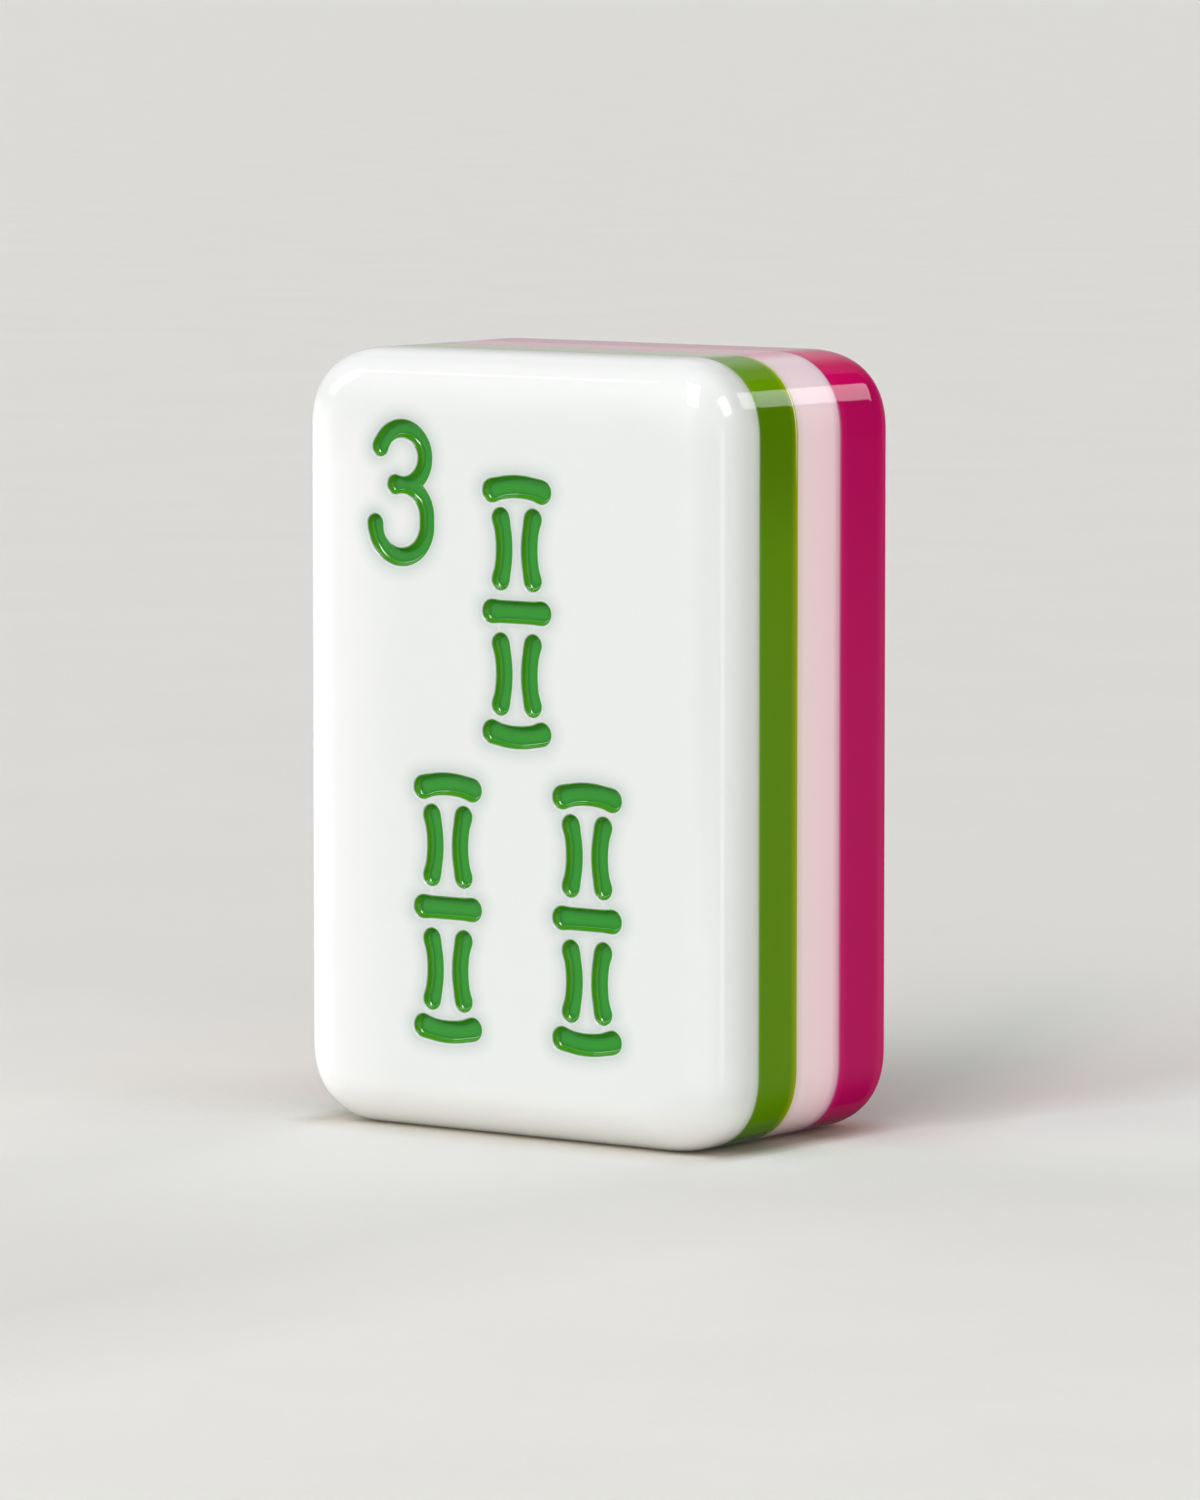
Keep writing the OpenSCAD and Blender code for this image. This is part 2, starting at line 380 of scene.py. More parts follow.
def bowed_stroke(middle, radius, from_angle, to_angle, half_w):
    """A stroke round a middle, clockwise from one angle to a lower one."""
    length = radius * math.radians(from_angle - to_angle)
    angles = np.linspace(from_angle, to_angle, steps_for(length) + 1)
    out = direction(angles)
    return stroke(np.array(middle) + out * radius, out, half_w)


def numeral_stroke():
    """The numeral's outline, as one stroke of two bowls that meet at a round tip."""
    half_w = NUMERAL_STROKE / 2
    _, high = box_mm("numeral_enamel")
    lower_x = high[0] - half_w - LOWER_BOWL_R
    upper_x = lower_x + LOWER_BOWL_R - BOWL_STEP - UPPER_BOWL_R
    upper = np.array([upper_x, high[2] - half_w - UPPER_BOWL_R])
    tip_x = lower_x - WAIST_TIP_L
    lower_tip = math.degrees(math.acos(-WAIST_TIP_L / LOWER_BOWL_R))
    upper_tip = -math.degrees(math.acos((tip_x - upper_x) / UPPER_BOWL_R))
    tip = upper + direction(upper_tip) * UPPER_BOWL_R
    lower_top = tip - direction(lower_tip) * LOWER_BOWL_R
    lower = lower_top - np.array([0, LOWER_BOWL_SIDE])

    def notch(reach):
        """Angles on both bowls where their outer sides meet."""
        a, b = UPPER_BOWL_R + reach, LOWER_BOWL_R + reach
        apart = lower_top - upper
        d = np.linalg.norm(apart)
        along = (a * a - b * b + d * d) / (2 * d)
        across = math.sqrt(max(a * a - along * along, 0))
        unit = apart / d
        meet = upper + unit * along + np.array([-unit[1], unit[0]]) * across
        return [math.degrees(math.atan2(*(meet - c)[::-1])) for c in (upper, lower_top)]

    def run(middle, radius, from_angle, to_angle, steps, sign, swell):
        """Points on one side of a bowl. The swell says if it widens at its start and at its end."""
        angles = np.linspace(from_angle, to_angle, steps + 1)
        lengths = radius * np.radians(np.abs(angles - from_angle))
        widen = np.zeros(len(angles))
        for wanted, distance in zip(swell, (lengths, lengths[-1] - lengths)):
            if wanted:
                widen += swelling(distance)
        out = direction(angles)
        return middle + out * (radius + sign * widen)[:, None], out * sign

    def outline(inset):
        w = half_w - inset
        upper_notch, lower_notch = notch(w)
        end_w = w + END_SWELL
        free_low = lower + direction(-LOWER_END_ANGLE) * LOWER_BOWL_R
        free_high = upper + direction(UPPER_END_ANGLE) * UPPER_BOWL_R
        parts = [
            run(upper, UPPER_BOWL_R + w, UPPER_END_ANGLE, upper_notch, UPPER_STEPS[0], 1, (True, False)),
            run(lower_top, LOWER_BOWL_R + w, lower_notch, 0, NECK_STEPS[0], 1, (False, False)),
            run(lower, LOWER_BOWL_R + w, 0, -LOWER_END_ANGLE, LOWER_STEPS[0], 1, (False, True)),
            cap(free_low, -LOWER_END_ANGLE, -LOWER_END_ANGLE - 180, end_w),
            run(lower, LOWER_BOWL_R - w, -LOWER_END_ANGLE, 0, LOWER_STEPS[1], -1, (True, False)),
            run(lower_top, LOWER_BOWL_R - w, 0, lower_tip, NECK_STEPS[1], -1, (False, True)),
            cap(tip, lower_tip - 180, upper_tip - 180, end_w),
            run(upper, UPPER_BOWL_R - w, upper_tip, UPPER_END_ANGLE, UPPER_STEPS[1], -1, (True, True)),
            cap(free_high, UPPER_END_ANGLE + 180, UPPER_END_ANGLE, end_w),
        ]
        points = np.concatenate([p for p, _ in parts])
        out = np.concatenate([n for _, n in parts])
        # The first point of the second part is the last one of the first: the notch
        joint = len(parts[0][0]) - 1
        out[joint] = out[joint] + out[joint + 1]
        out[joint] /= np.linalg.norm(out[joint])
        keep = np.arange(len(points)) != joint + 1
        return points[keep], out[keep]

    return outline, half_w


def rod_strokes(rod):
    """Each node of a rod with its strokes, set out from the rod's foot."""
    low, high = box_mm(rod + "_lower_bar")
    x, foot = (low[0] + high[0]) / 2, low[2]
    half_bar, half_line = BAR_STROKE / 2, CANE_STROKE / 2
    cane_low = foot + BAR_STROKE + JOINT_GAP
    middle_z = cane_low + CANE_L + JOINT_GAP + half_bar
    cane_high = middle_z + half_bar + JOINT_GAP
    head = cane_high + CANE_L + JOINT_GAP + BAR_STROKE
    reach = (BAR_L - BAR_STROKE) / 2
    bow = math.degrees(math.asin(reach / BAR_BOW_R))
    line_reach = (CANE_L - CANE_STROKE) / 2
    draw_in = (CANE_MOUTH_W - CANE_WAIST_W) / 2
    line_r = (line_reach**2 + draw_in**2) / (2 * draw_in)
    line_bow = math.degrees(math.asin(line_reach / line_r))
    line_x = CANE_WAIST_W / 2 + line_r

    def cane(z):
        middle = z + CANE_L / 2
        return [
            bowed_stroke((x - line_x, middle), line_r, line_bow, -line_bow, half_line),
            bowed_stroke((x + line_x, middle), line_r, 180 + line_bow, 180 - line_bow, half_line),
        ]

    return {
        rod + "_lower_bar": [
            bowed_stroke((x, foot + half_bar + BAR_BOW_R), BAR_BOW_R, bow - 90, -bow - 90, half_bar)
        ],
        rod + "_lower_cane": cane(cane_low),
        rod + "_middle_bar": [straight_stroke((x - reach, middle_z), (x + reach, middle_z), half_bar)],
        rod + "_upper_cane": cane(cane_high),
        rod + "_upper_bar": [
            bowed_stroke((x, head - half_bar - BAR_BOW_R), BAR_BOW_R, 90 + bow, 90 - bow, half_bar)
        ],
    }


def turn(count, degrees=90):
    """Cosines and sines at this many angles from 0 to the degrees, in pairs."""
    t = np.radians(np.linspace(0, degrees, count))
    return list(zip(np.cos(t), np.sin(t)))


def groove_rows():
    """A groove from its lip down: inset, depth, and the normal's parts outward and out of the face."""
    rows = [(-LIP_R + LIP_R * s, LIP_R * (1 - c), -s, c) for c, s in turn(FILLET_POINTS)]
    wall_end = GROOVE_D - GROOVE_FLOOR_R
    rows += [
        (GROOVE_FLOOR_R * (1 - c), wall_end + GROOVE_FLOOR_R * s, -c, s)
        for c, s in turn(FILLET_POINTS)
    ]
    return rows


def enamel_rows():
    """The enamel from its bottom round its rim to the hollow's floor, in the same terms."""
    bed_r = GROOVE_FLOOR_R
    bed = GROOVE_D - ENAMEL_GAP
    rows = [
        (ENAMEL_GAP + bed_r * (1 - c), bed - bed_r + bed_r * s, c, -s)
        for c, s in turn(FILLET_POINTS)[::-1]
    ]
    rim_side = RIM_D + RIM_R
    rows += [
        (ENAMEL_GAP + RIM_R * (1 - c), rim_side - RIM_R * s, c, s)
        for c, s in turn(RIM_POINTS, 180)
    ]
    hollow_d = GROOVE_D - ENAMEL_T - rim_side
    first = ENAMEL_GAP + 2 * RIM_R
    rows += [
        (first + MENISCUS_W * (1 - c), rim_side + hollow_d * s, -c * hollow_d, s * MENISCUS_W)
        for c, s in turn(MENISCUS_POINTS)[1:]
    ]
    return rows


def engraved_ring(shape, outline, row, value=0.0):
    """One ring of a groove or of its enamel, with its normals."""
    inset, depth, outward, out_of_face = row
    points, out = outline(inset)
    ring = shape.add(at_depth(points, FACE_Y + depth), value)
    return ring, at_depth(out * outward, -out_of_face) / math.hypot(outward, out_of_face)


def engraved_band(shape, outline, rows, value_of=lambda inset: 0.0):
    """Rings at the rows with faces between them. Returns the first and last ring."""
    first = last = None
    for row in rows:
        ring, normals = engraved_ring(shape, outline, row, value_of(row[0]))
        if last:
            shape.band(last[0], ring, last[1], normals)
        else:
            first = ring
        last = (ring, normals)
    return first, last[0]


def enamel_piece(node, strokes):
    """The enamel of one node: a lining with a rim and a hollow surface for each of its strokes."""
    shape = Shape()
    for outline, half_w in strokes:
        rows = enamel_rows()
        edge, floor_d = rows[-1][:2]
        centre = half_w - CENTRE_W
        if edge < centre:
            rows += [
                (edge + (centre - edge) * k / CENTRE_RINGS, floor_d, 0, 1)
                for k in range(1, CENTRE_RINGS + 1)
            ]
        first, last = engraved_band(shape, outline, rows, lambda inset: inset)
        shape.fill(first, TO_BACK)
        shape.fill(last, TO_FRONT)
    return shape.make(node, "from_wall")


def inside(points, polygon):
    """Which points lie inside a closed outline."""
    x, y = points[:, 0][:, None], points[:, 1][:, None]
    x0, y0 = polygon[:, 0], polygon[:, 1]
    x1, y1 = np.roll(x0, -1), np.roll(y0, -1)
    crosses = (y0 > y) != (y1 > y)
    with np.errstate(divide="ignore", invalid="ignore"):
        at = x0 + (y - y0) * (x1 - x0) / (y1 - y0)
    return (np.sum(crosses & (x < at), axis=1) % 2).astype(bool)


def nearest_distance(points, outlines):
    """Distance from each point to the nearest outline point."""
    every = np.concatenate(outlines)
    tree = KDTree(len(every))
    for i, (x, z) in enumerate(every):
        tree.insert((x, z, 0), i)
    tree.balance()
    return np.array([tree.find((x, z, 0))[2] for x, z in points])


def face_piece(node, strokes):
    """The face layer: its rounded front edge, and its flat face with the grooves cut in it."""
    shape = Shape()
    _, high = box_mm(node)
    rows = [
        (inset, FACE_Y + away, to_side, out)
        for inset, away, to_side, out in rounded_edge(FRONT_R)
    ]
    rows += side_profile(FACE_Y + FRONT_R, high[1])[1:]
    rings = tile_band(shape, rows)
    shape.lid(rings[-1], TO_BACK)

    lips = []
    for outline, _ in strokes:
        first, last = engraved_band(shape, outline, groove_rows())
        shape.fill(last, TO_FRONT)
        lips.append(first)
    points = np.concatenate(shape.points)
    border = points[rings[0]][:, [0, 2]]
    edges_of = [points[lip][:, [0, 2]] for lip in lips]

    xs = np.arange(-TILE_W / 2 + FRONT_R, TILE_W / 2 - FRONT_R, LATTICE_STEP)
    zs = np.arange(FRONT_R, TILE_H - FRONT_R, LATTICE_STEP)
    lattice = np.stack(np.meshgrid(xs, zs), -1).reshape(-1, 2)
    lattice[:, 0] += (np.round((lattice[:, 1] - FRONT_R) / LATTICE_STEP) % 2) * LATTICE_STEP / 2
    clear = inside(lattice, border)
    for edge in edges_of:
        clear &= ~inside(lattice, edge)
    lattice = lattice[clear]
    lattice = lattice[nearest_distance(lattice, edges_of + [border]) > LATTICE_CLEARANCE]
    numbers = np.concatenate([rings[0]] + lips + [shape.add(at_depth(lattice, FACE_Y))])
    flat_points = np.concatenate([border] + edges_of + [lattice])
    constraints, first = [], 0
    for loop in [rings[0]] + lips:
        count = len(loop)
        constraints += [(first + i, first + (i + 1) % count) for i in range(count)]
        first += count
    # Its results are corners, edges and triangles, then which of the points each corner came from
    made = delaunay_2d_cdt([Vector(p) for p in flat_points], constraints, [], 0, SAME_POINT, True)
    origin = [numbers[found[0]] for found in made[3]]
    triangles = np.array(made[2])
    corners = np.array([tuple(v) for v in made[0]])
    middles = corners[triangles].mean(1)
    keep = inside(middles, border)
    for edge in edges_of:
        keep &= ~inside(middles, edge)
    shape.flat([[origin[i] for i in t] for t in triangles[keep]], TO_FRONT)

    # How far each point lies from a stroke, which the material uses
    every = np.concatenate(shape.points)
    gaps = nearest_distance(every[:, [0, 2]], edges_of)
    gaps[every[:, 1] > FACE_Y + GROOVE_D + LIP_R] += TILE_T
    shape.values = [gaps]
    return shape.make(node, "from_stroke")


RODS = ("top_rod", "left_rod", "right_rod")
ENGRAVED = {"numeral_enamel": [numeral_stroke()]}
for rod in RODS:
    ENGRAVED.update(rod_strokes(rod))


# Materials
def srgb(red, green, blue):
    """Linear colour of 8-bit screen values."""
    def linear(v):
        v /= 255
        return v / 12.92 if v <= 0.04045 else ((v + 0.055) / 1.055) ** 2.4
    return tuple(linear(v) for v in (red, green, blue))


class Tree:
    """Short ways to add nodes to a node tree. A value is a number, a colour or another node's output."""

    def __init__(self, tree):
        self.tree = tree

    def add(self, kind, **settings):
        node = self.tree.nodes.new(kind)
        for key, value in settings.items():
            setattr(node, key, value)
        return node

    def link(self, output, socket):
        self.tree.links.new(output, socket)

    def give(self, value, socket):
        if isinstance(value, tuple):
            socket.default_value = (*value, 1)
        elif isinstance(value, (int, float)):
            socket.default_value = value
        else:
            self.link(value, socket)

    def math(self, operation, a, b=0.0, clamp=False):
        node = self.add("ShaderNodeMath", operation=operation, use_clamp=clamp)
        self.give(a, node.inputs[0])
        self.give(b, node.inputs[1])
        return node.outputs[0]

    def total(self, first, *others):
        for other in others:
            first = self.math("ADD", first, other)
        return first

    def product(self, first, *others):
        for other in others:
            first = self.math("MULTIPLY", first, other)
        return first

    def rest(self, share):
        return self.math("SUBTRACT", 1.0, share)

    def mix(self, share, a, b, blend="MIX"):
        """A colour between two others."""
        node = self.add("ShaderNodeMix", data_type="RGBA", blend_type=blend)
        self.give(share, node.inputs[0])
        self.give(a, node.inputs[6])
        self.give(b, node.inputs[7])
        return node.outputs[2]

    def dot(self, output, way):
        """How far a vector goes that way."""
        node = self.add("ShaderNodeVectorMath", operation="DOT_PRODUCT")
        self.link(output, node.inputs[0])
        node.inputs[1].default_value = way
        return node.outputs["Value"]


class Nodes(Tree):
    """A new material's node tree, with its Principled shader."""

    def __init__(self, name):
        self.material = bpy.data.materials.new(name)
        self.material.use_nodes = True
        super().__init__(self.material.node_tree)
        self.shader = self.tree.nodes["Principled BSDF"]
        self.object_place = self.add("ShaderNodeTexCoord").outputs["Object"]

    def ramp(self, value, stops, interpolation="EASE"):
        """A colour ramp through (place, colour) stops. A number stands for a grey."""
        node = self.add("ShaderNodeValToRGB")
        node.color_ramp.interpolation = interpolation
        elements = node.color_ramp.elements
        while len(elements) < len(stops):
            elements.new(0.5)
        for element, (place, colour) in zip(elements, stops):
            element.position = place
            element.color = (*(colour if isinstance(colour, tuple) else (colour,) * 3), 1)
        self.link(value, node.inputs[0])
        return node.outputs[0]

    def brighter(self, colour, times):
        """The colour, that many times as bright."""
        node = self.add("ShaderNodeVectorMath", operation="SCALE")
        self.link(colour, node.inputs[0])
        node.inputs["Scale"].default_value = times
        return node.outputs[0]

    def noise(self, scale, detail=2.0, roughness=0.5):
        node = self.add("ShaderNodeTexNoise")
        node.inputs["Scale"].default_value = scale
        node.inputs["Detail"].default_value = detail
        node.inputs["Roughness"].default_value = roughness
        self.link(self.object_place, node.inputs["Vector"])
        return node.outputs["Fac"]

    def axis(self, name):
        node = self.add("ShaderNodeSeparateXYZ")
        self.link(self.object_place, node.inputs[0])
        return node.outputs[name]

    def share(self, axis, start, end):
        """0 at one place along an axis, in millimetres, and 1 at another."""
        away = self.math("SUBTRACT", self.axis(axis), float(start * MM))
        return self.math("DIVIDE", away, float((end - start) * MM), clamp=True)

    def patch(self, *spans):
        """The product of several such shares, each given as (axis, start, end)."""
        return self.product(*(self.share(*span) for span in spans))

    def attribute(self, name):
        return self.add("ShaderNodeAttribute", attribute_name=name).outputs["Fac"]

    def bump(self, height, distance, strength=1.0):
        node = self.add("ShaderNodeBump")
        node.inputs["Strength"].default_value = strength
        node.inputs["Distance"].default_value = distance
        self.link(height, node.inputs["Height"])
        self.link(node.outputs[0], self.shader.inputs["Normal"])

    def set(self, **values):
        for name, value in values.items():
            socket = self.shader.inputs[name.replace("_", " ")]
            if isinstance(value, (int, float, tuple)):
                socket.default_value = value
            else:
                self.link(value, socket)

    def uneven_gloss(self, smear, least, spread):
        """A roughness between the least one and one that is more by the spread."""
        self.set(Roughness=self.total(self.product(smear, spread), least))


ACRYLIC_IOR = 1.49
ENAMEL_IOR = 1.58

# Heights of surface waves, in metres: what hand polishing leaves, the enamel's own, and the paper's fibres
POLISH_WAVE = 0.8e-6
ENAMEL_WAVE = 4e-6
FIBRE_WAVE = 60e-6

# Colours of the white acrylic, with its painted light and shade, and the strength of the painted glow that
# its edges have, as from the light they take in
WHITE_BODY = srgb(238, 240, 239)
WHITE_PAINTED_GLOW = srgb(253, 254, 253)
WHITE_SIDE_SHADE = srgb(214, 216, 213)
WHITE_TURN_SHADE = srgb(230, 232, 231)
WHITE_BOTTOM = srgb(254, 253, 247)
WHITE_GREEN_SHADE = srgb(202, 212, 194)
WHITE_TOP_HIGHLIGHT = srgb(252, 253, 252)
WHITE_ENAMEL_SHADE = srgb(213, 222, 217)
LEFT_PAINTED_GLOW_LOSS = 0.5
TOP_PAINTED_GLOW = 0.6
RIM_PAINTED_GLOW = 0.9
SEAM_SHADE = [(0, 0), (0.5, 0.15), (1, 1)]
# Strength of the enamel's shade in the white, at shares of HALO_W from a stroke
HALO = [(0, 0.5), (0.02, 0.5), (0.06, 0.95), (0.27, 0.58), (0.55, 0.28), (1, 0)]

# Colours of the sheets from their front to their back, at shares of their thickness. Each sheet's own colour
# lies in its middle; near the seams the colours are partly painted light and shade, of light that passes
# between the sheets, and the magenta's brighter back is painted light
GREEN_DEPTHS = [
    (0, srgb(96, 140, 22)), (0.12, srgb(90, 135, 6)), (0.85, srgb(92, 135, 6)), (1, srgb(130, 150, 10)),
]
PINK_DEPTHS = [
    (0, srgb(150, 154, 40)), (0.018, srgb(152, 158, 60)), (0.035, srgb(224, 204, 196)),
    (0.2, srgb(240, 216, 217)), (0.5, srgb(241, 214, 216)), (0.82, srgb(242, 208, 214)),
    (1, srgb(228, 172, 190)),
]
MAGENTA_DEPTHS = [
    (0, srgb(228, 110, 152)), (0.03, srgb(206, 32, 108)), (0.12, srgb(182, 16, 90)),
    (0.5, srgb(180, 16, 88)), (0.64, srgb(216, 24, 106)), (0.8, srgb(255, 52, 142)),
]
# Light on the green sheet's side up its height, where middle grey leaves the colour as it is
MIDDLE_GREY = srgb(128, 128, 128)
GREEN_SHADE_LOW_Z = 22
GREEN_SHADE = [
    (0, MIDDLE_GREY), (0.56, srgb(115, 115, 115)), (0.74, srgb(114, 114, 110)),
    (0.87, srgb(152, 150, 140)), (1, srgb(150, 148, 160)),
]
# Painted reflection on the green's top, painted light high on the pink and on the pink's top, the magenta's
# clouds, and painted light on the magenta's top
GREEN_TOP_REFLECTION = srgb(172, 194, 112)
PINK_HIGH_LIGHT = srgb(252, 230, 240)
PINK_HIGH_LIGHT_SHARE = 0.6
PINK_TOP_THROUGH_LIGHT = srgb(250, 158, 180)
MAGENTA_CLOUD = srgb(176, 10, 86)
MAGENTA_LIT = srgb(218, 10, 100)

# Share of the light that wanders under the surface, and how far it goes in metres, in pale and deep colours
PALE_MILK = (0.35, 0.0006)
DEEP_MILK = (0.15, 0.0004)

# Enamel, from the groove's wall to this far from it, in millimetres
ENAMEL_SHADE_W = 0.35
ENAMEL_DEPTHS = [
    (0, srgb(70, 152, 24)), (0.14, srgb(86, 168, 20)), (0.34, srgb(60, 154, 18)),
    (0.52, srgb(20, 132, 16)), (0.68, srgb(30, 148, 22)), (1, srgb(38, 157, 30)),
]
ENAMEL_CLOUD = srgb(28, 142, 20)
ENAMEL_DARK_WALL = srgb(14, 112, 4)
DARK_WALL_SIDE = (-0.75, 0, -0.66)
DARK_WALL_FULL = 0.75
DARK_WALL_SHARE = 0.9


def polish(nodes):
    """Polished acrylic: a slightly uneven gloss and long, low waves."""
    nodes.uneven_gloss(nodes.noise(260, 3, 0.55), 0.01, 0.02)
    nodes.set(IOR=ACRYLIC_IOR)
    nodes.bump(nodes.noise(320, 1, 0.4), POLISH_WAVE)


def acrylic(nodes, colour, milk, reach):
    """A sheet's finished material. The reach compares how far red, green and blue light goes in it."""
    weight, depth = milk
    nodes.set(Base_Color=colour, Subsurface_Weight=weight, Subsurface_Scale=depth, Subsurface_Radius=reach)
    nodes.shader.subsurface_method = "RANDOM_WALK"
    polish(nodes)
    return nodes.material


def clouded(nodes, colour, amount, scale=90):
    """The colour with faint, soft clouds in it, as cast sheet has."""
    darker = tuple(c * (1 - amount) for c in colour)
    return nodes.mix(nodes.noise(scale, 2), darker, colour)


def white_acrylic():
    nodes = Nodes("white_acrylic")
    low, high = box_mm("face_layer")
    body = clouded(nodes, WHITE_BODY, 0.01)
    # Painted glow: the left and top edges are paler, as with the light that enters them
    high_up = nodes.product(nodes.share("Z", HIGH[2] - 4.5, HIGH[2] - 2), LEFT_PAINTED_GLOW_LOSS)
    left_painted_glow = nodes.product(nodes.share("X", LOW[0] + 6, LOW[0] + 2), nodes.rest(high_up))
    top_painted_glow = nodes.product(nodes.share("Z", HIGH[2] - 3.6, HIGH[2] - 1.2), TOP_PAINTED_GLOW)
    rim_painted_glow = nodes.product(nodes.share("Z", HIGH[2] - 0.7, HIGH[2] - 0.1), RIM_PAINTED_GLOW)
    painted_glow = nodes.math("MAXIMUM", nodes.math("MAXIMUM", left_painted_glow, top_painted_glow), rim_painted_glow)
    body = nodes.mix(nodes.product(painted_glow, painted_glow), body, WHITE_PAINTED_GLOW)
    # Painted shade: the right side is a little darker towards the sheets behind, and at the last it is
    # tinted by light from the green
    side_shade = nodes.patch(("Y", low[1] + 0.2, high[1]), ("X", HIGH[0] - 1.5, HIGH[0] - 0.3))
    body = nodes.mix(side_shade, body, WHITE_SIDE_SHADE)
    # Painted shade: high on the right, the front edge is a little darker where it turns
    turn_shade = nodes.patch(("X", 8.7, 9.3), ("Y", -5.2, -5.5), ("Z", 8, 16))
    body = nodes.mix(turn_shade, body, WHITE_TURN_SHADE)
    # The floor lights the bottom edge
    body = nodes.mix(nodes.share("Z", LOW[2] + 2.2, LOW[2] + 0.6), body, WHITE_BOTTOM)
    # Painted shade in the last millimetre before the seam, greened by light from the green sheet
    seam_shade = nodes.ramp(nodes.share("Y", high[1] - 1.0, high[1]), SEAM_SHADE)
    body = nodes.mix(seam_shade, body, WHITE_GREEN_SHADE)
    # Painted highlight: that tint doesn't show on the top, which is paler where it mirrors the light behind
    body = nodes.mix(nodes.share("Z", HIGH[2] - 0.3, HIGH[2] - 0.05), body, WHITE_TOP_HIGHLIGHT)
    # Painted shade: light that has passed the enamel greys the white round each stroke, most of all just
    # beyond its lip, and the paler line on the lip is a painted highlight
    gap = nodes.math("DIVIDE", nodes.attribute("from_stroke"), HALO_W, clamp=True)
    body = nodes.mix(nodes.ramp(gap, HALO, "LINEAR"), body, WHITE_ENAMEL_SHADE)
    return acrylic(nodes, body, PALE_MILK, (1.0, 1.0, 0.95))


def green_acrylic():
    nodes = Nodes("green_acrylic")
    low, high = box_mm("green_layer")
    colour = nodes.ramp(nodes.share("Y", low[1], high[1]), GREEN_DEPTHS)
    # Painted shade just under the corner, and painted light from above on its rounding
    shade = nodes.ramp(nodes.share("Z", GREEN_SHADE_LOW_Z, HIGH[2]), GREEN_SHADE)
    lit = nodes.brighter(nodes.mix(1.0, colour, shade, "MULTIPLY"), 1 / MIDDLE_GREY[0])
    # Painted reflection: the flat top is paler
    colour = nodes.mix(nodes.share("Z", HIGH[2] - 0.06, HIGH[2] - 0.01), lit, GREEN_TOP_REFLECTION)
    return acrylic(nodes, colour, DEEP_MILK, (0.7, 1.0, 0.3))


def pink_acrylic():
    nodes = Nodes("pink_acrylic")
    low, high = box_mm("pink_layer")
    colour = nodes.ramp(nodes.share("Y", low[1], high[1]), PINK_DEPTHS)
    # Painted light: paler high up, where the outline rounds over towards the top
    colour = nodes.mix(nodes.product(nodes.share("Z", 27, 29), PINK_HIGH_LIGHT_SHARE), colour, PINK_HIGH_LIGHT)
    # Painted light: the top takes the deeper pink of light from the sheet behind, which shows through it
    colour = nodes.mix(nodes.share("Z", HIGH[2] - 0.2, HIGH[2] - 0.02), colour, PINK_TOP_THROUGH_LIGHT)
    return acrylic(nodes, colour, PALE_MILK, (1.0, 0.7, 0.75))


def magenta_acrylic():
    nodes = Nodes("magenta_acrylic")
    low, high = box_mm("back_layer")
    depth = nodes.share("Y", low[1], high[1])
    mottled = nodes.mix(nodes.noise(70, 2), nodes.ramp(depth, MAGENTA_DEPTHS), MAGENTA_CLOUD)
    # Light from the pale sheet in front brightens the top
    near_front = nodes.rest(nodes.math("POWER", depth, 1.5))
    lit = nodes.product(nodes.share("Z", HIGH[2] - 1.9, HIGH[2] - 0.9), near_front)
    return acrylic(nodes, nodes.mix(lit, mottled, MAGENTA_LIT), DEEP_MILK, (1.0, 0.2, 0.4))


def cement(name, colour, top_highlight=None):
    """Cured cement between two sheets, in the tint that shows through it, maybe with a paler painted
    highlight towards the top.
    """
    nodes = Nodes(name)
    tint = clouded(nodes, colour, 0.04, 400)
    if top_highlight:
        # Painted highlight towards the top
        tint = nodes.mix(nodes.share("Z", 25, 28), tint, top_highlight)
    nodes.set(Base_Color=tint)
    polish(nodes)
    return nodes.material


def green_enamel():
    nodes = Nodes("green_enamel")
    # Thin and paler on the walls, partly painted light that comes through the white there, and deep and
    # darker in the fillets
    inset = nodes.math("DIVIDE", nodes.attribute("from_wall"), ENAMEL_SHADE_W, clamp=True)
    colour = nodes.ramp(inset, ENAMEL_DEPTHS)
    # Painted shade: the walls that face down and to the left get less of the light that comes through the
    # white
    normal = nodes.add("ShaderNodeNewGeometry").outputs["Normal"]
    dark_wall = nodes.math("DIVIDE", nodes.dot(normal, DARK_WALL_SIDE), DARK_WALL_FULL, clamp=True)
    colour = nodes.mix(nodes.product(dark_wall, DARK_WALL_SHARE), colour, ENAMEL_DARK_WALL)
    patchy = nodes.mix(nodes.noise(900, 3), colour, ENAMEL_CLOUD)
    nodes.set(Base_Color=nodes.mix(0.5, colour, patchy), IOR=ENAMEL_IOR)
    nodes.uneven_gloss(nodes.noise(1500, 2), 0.006, 0.012)
    nodes.bump(nodes.noise(1100, 2), ENAMEL_WAVE)
    return nodes.material


WHITE = white_acrylic()
GREEN = green_acrylic()
PINK = pink_acrylic()
MAGENTA = magenta_acrylic()
ENAMEL = green_enamel()
FACE_FILM = cement("face_cement", srgb(150, 176, 112))
# The middle cement's paler top is a painted highlight
MIDDLE_FILM = cement("middle_cement", srgb(150, 156, 20), srgb(234, 228, 180))
BACK_FILM = cement("back_cement", srgb(214, 140, 166))


def finish_piece(piece, material):
    piece.data.materials.append(material)
    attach(piece, "root")
    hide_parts(piece.name.removesuffix("_look"))


def look(piece):
    """A piece that stands for the CAD node of its name can't share it, so it gets an ending."""
    piece.name = piece.name.split(".")[0] + "_look"
    return piece


